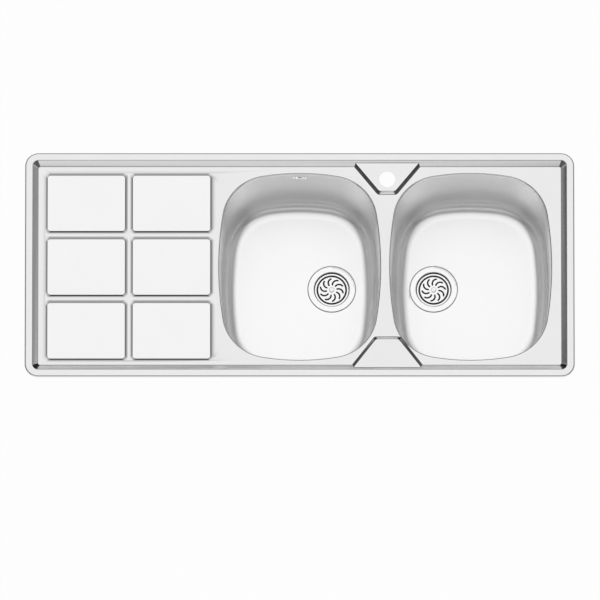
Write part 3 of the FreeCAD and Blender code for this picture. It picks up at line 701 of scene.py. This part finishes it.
# each bracket has a foot on either side of its screw, along the edge of the sink
spotPoints = []
for node in nodes:
    if node.endswith("_clip_screw"):
        centre = nodeCentre(node)
        alongX = not node.startswith(("left", "right"))
        for reach in (-spotWeld["footAt"], spotWeld["footAt"]):
            shift = Vector((reach, 0.0, 0.0)) if alongX else Vector((0.0, reach, 0.0))
            spotPoints.append((centre.x + shift.x, centre.y + shift.y, spotWeld["footLevel"]))
spots = spotPattern()
spots.grow("bracketSpotWelds", spotWeld, "sink", "zinc_steel", pointMesh("spotPlaces", spotPoints, False))
print("brackets welded")


studio = {
    "floorDrop": 0.004,
    "floorSize": 400.0,
    "floorLight": grey(0.90),
    "floorShade": grey(0.88),
    "white": 0.97,  # as the camera sees the floor and the room
    "mottleScale": 3.0,
    "mottleDetail": 3.0,
    "softboxPlace": (0.0, 0.65, 2.2),
    "softboxTarget": (0.0, 0.65, 0.0),
    "softboxSize": (2.2, 1.7),
    "softboxRadiance": 0.30,
    # tone of the room from front to back, by angle from straight up in degrees
    "roomTones": [(-95, 0.75), (-74, 0.85), (-58, 0.82), (-47, 0.14), (-35, 0.12), (-29, 0.85), (-20, 0.98),
                  (-8, 0.76), (46, 0.74), (54, 0.05), (76, 0.03), (83, 0.45), (88, 0.85), (95, 0.90)],
    # how much of it is left towards the left and the right
    "sideTones": [(-1.0, 0.0), (-0.92, 0.0), (-0.885, 0.9), (-0.83, 1.0), (-0.79, 0.15), (-0.68, 0.15),
                  (-0.62, 0.9), (-0.50, 1.0), (0.50, 1.0), (0.62, 0.9), (0.68, 0.15), (0.79, 0.15),
                  (0.83, 1.0), (0.89, 1.0), (0.925, 0.15), (1.0, 0.15)],
    # what both ends of the room add, low down
    "endTones": [(-1.0, 0.0), (-0.86, 0.0), (0.86, 0.0), (0.92, 0.08), (1.0, 0.10)],
}


# white to the eye and to gloss, pale grey to the light, and clear from below, so that the underside shows
def makeFloor(lowest):
    finish = Finish("studioFloor")
    paths = finish.add("ShaderNodeLightPath")
    rays = ("Is Camera Ray", "Is Glossy Ray", "Is Transmission Ray")
    seen, glossy, through = (Value(finish, paths.outputs[name]) for name in rays)
    direct = seen.combine("MAXIMUM", seen, glossy)
    direct = direct.combine("MAXIMUM", direct, through)
    mottle = finish.noise(studio["mottleScale"], studio["mottleDetail"])
    colour = finish.tint(mottle, studio["floorShade"], studio["floorLight"])
    matt = finish.value("ShaderNodeBsdfDiffuse", None, {"Color": colour})
    glow = finish.value("ShaderNodeEmission", None, {"Color": grey(1.0), "Strength": 1.0})
    share = direct * studio["white"]
    mixed = finish.value("ShaderNodeMixShader", None, {0: share, 1: matt, 2: glow})
    behind = finish.value("ShaderNodeNewGeometry", output="Backfacing")
    clear = finish.value("ShaderNodeBsdfTransparent")
    oneSided = finish.value("ShaderNodeMixShader", None, {0: behind, 1: mixed, 2: clear})
    finish.add("ShaderNodeOutputMaterial", None, {"Surface": oneSided})
    half = studio["floorSize"] / 2
    level = lowest - studio["floorDrop"]
    corners = [(-half, -half, level), (half, -half, level), (half, half, level), (-half, half, level)]
    mesh = bpy.data.meshes.new("studioFloor")
    mesh.from_pydata(corners, [], [(0, 1, 2, 3)])
    mesh.materials.append(finish.made)
    floor = bpy.data.objects.new("studioFloor", mesh)
    bpy.context.scene.collection.objects.link(floor)


def makeSoftbox():
    width, depth = studio["softboxSize"]
    lamp = bpy.data.lights.new("overheadSoftbox", "AREA")
    lamp.shape = "RECTANGLE"
    lamp.size, lamp.size_y = width, depth
    lamp.energy = studio["softboxRadiance"] * math.pi * width * depth
    place = Vector(studio["softboxPlace"])
    aim = Vector(studio["softboxTarget"]) - place
    softbox = bpy.data.objects.new("overheadSoftbox", lamp)
    softbox.location = place
    softbox.rotation_euler = aim.to_track_quat("-Z", "Y").to_euler()
    softbox.visible_camera = False
    bpy.context.scene.collection.objects.link(softbox)


# The room is pale overhead and low down at the front and the back, with dark gaps between and towards the
# sides. The camera sees it as plain white.
def makeWorld():
    finish = Finish("studioWorld", bpy.data.worlds)
    direction = finish.value("ShaderNodeTexCoord", output="Generated")
    x, y, z = (finish.axis(name, direction) for name in "XYZ")

    def across(tones):
        return finish.ramp(x.between(-1.0, 1.0), [((reach + 1) / 2, tone) for reach, tone in tones], "EASE")

    lowest, highest = (math.radians(studio["roomTones"][end][0]) for end in (0, -1))
    angle = y.combine("ARCTAN2", y, z).between(lowest, highest)
    span = highest - lowest
    stops = [((math.radians(degrees) - lowest) / span, tone) for degrees, tone in studio["roomTones"]]
    room = finish.ramp(angle, stops, "EASE") * across(studio["sideTones"]) + across(studio["endTones"])
    seen = finish.value("ShaderNodeLightPath", output="Is Camera Ray") * studio["white"]
    background = finish.value("ShaderNodeBackground", None, {"Color": seen.combine("MAXIMUM", seen, room)})
    finish.add("ShaderNodeOutputWorld", None, {"Surface": background})
    bpy.context.scene.world = finish.made


makeFloor(cadBounds[0].z)
makeSoftbox()
makeWorld()
print("studio lit")


# The photograph's view: a long lens in front of the sink, tipped from straight down.
shot = {
    "tilt": 16.6,
    "distance": 60.0,
    "across": 0.03,
    "framePixels": 600.0,
    "outlinePixels": 550.2,  # the sink's length in the frame
    "outlineCentre": (299.7, 264.55),  # pixels from the frame's left and top
    "rimLevel": 0.005,
    "sensor": 36.0,
    "farthest": 200.0,
}


def makeCamera():
    camera = bpy.data.cameras.new("photoCamera")
    camera.sensor_width = shot["sensor"]
    tilt = math.radians(shot["tilt"])
    back = Vector((0.0, -math.sin(tilt), math.cos(tilt)))
    length = cadBounds[1].x - cadBounds[0].x
    pixelsPerMetre = shot["outlinePixels"] / length
    camera.lens = pixelsPerMetre * shot["distance"] / shot["framePixels"] * shot["sensor"]
    right, down = ((centre - shot["framePixels"] / 2) / pixelsPerMetre for centre in shot["outlineCentre"])
    camera.shift_x = -(shot["across"] + right) * pixelsPerMetre / shot["framePixels"]
    camera.shift_y = down * pixelsPerMetre / shot["framePixels"]
    camera.clip_end = shot["farthest"]
    eye = bpy.data.objects.new("photoCamera", camera)
    eye.location = Vector((shot["across"], 0.0, shot["rimLevel"])) + back * shot["distance"]
    eye.rotation_euler = (-back).to_track_quat("-Z", "Y").to_euler()
    bpy.context.scene.collection.objects.link(eye)
    bpy.context.scene.camera = eye


makeCamera()
bpy.context.scene.view_settings.view_transform = "Standard"
print("camera placed")
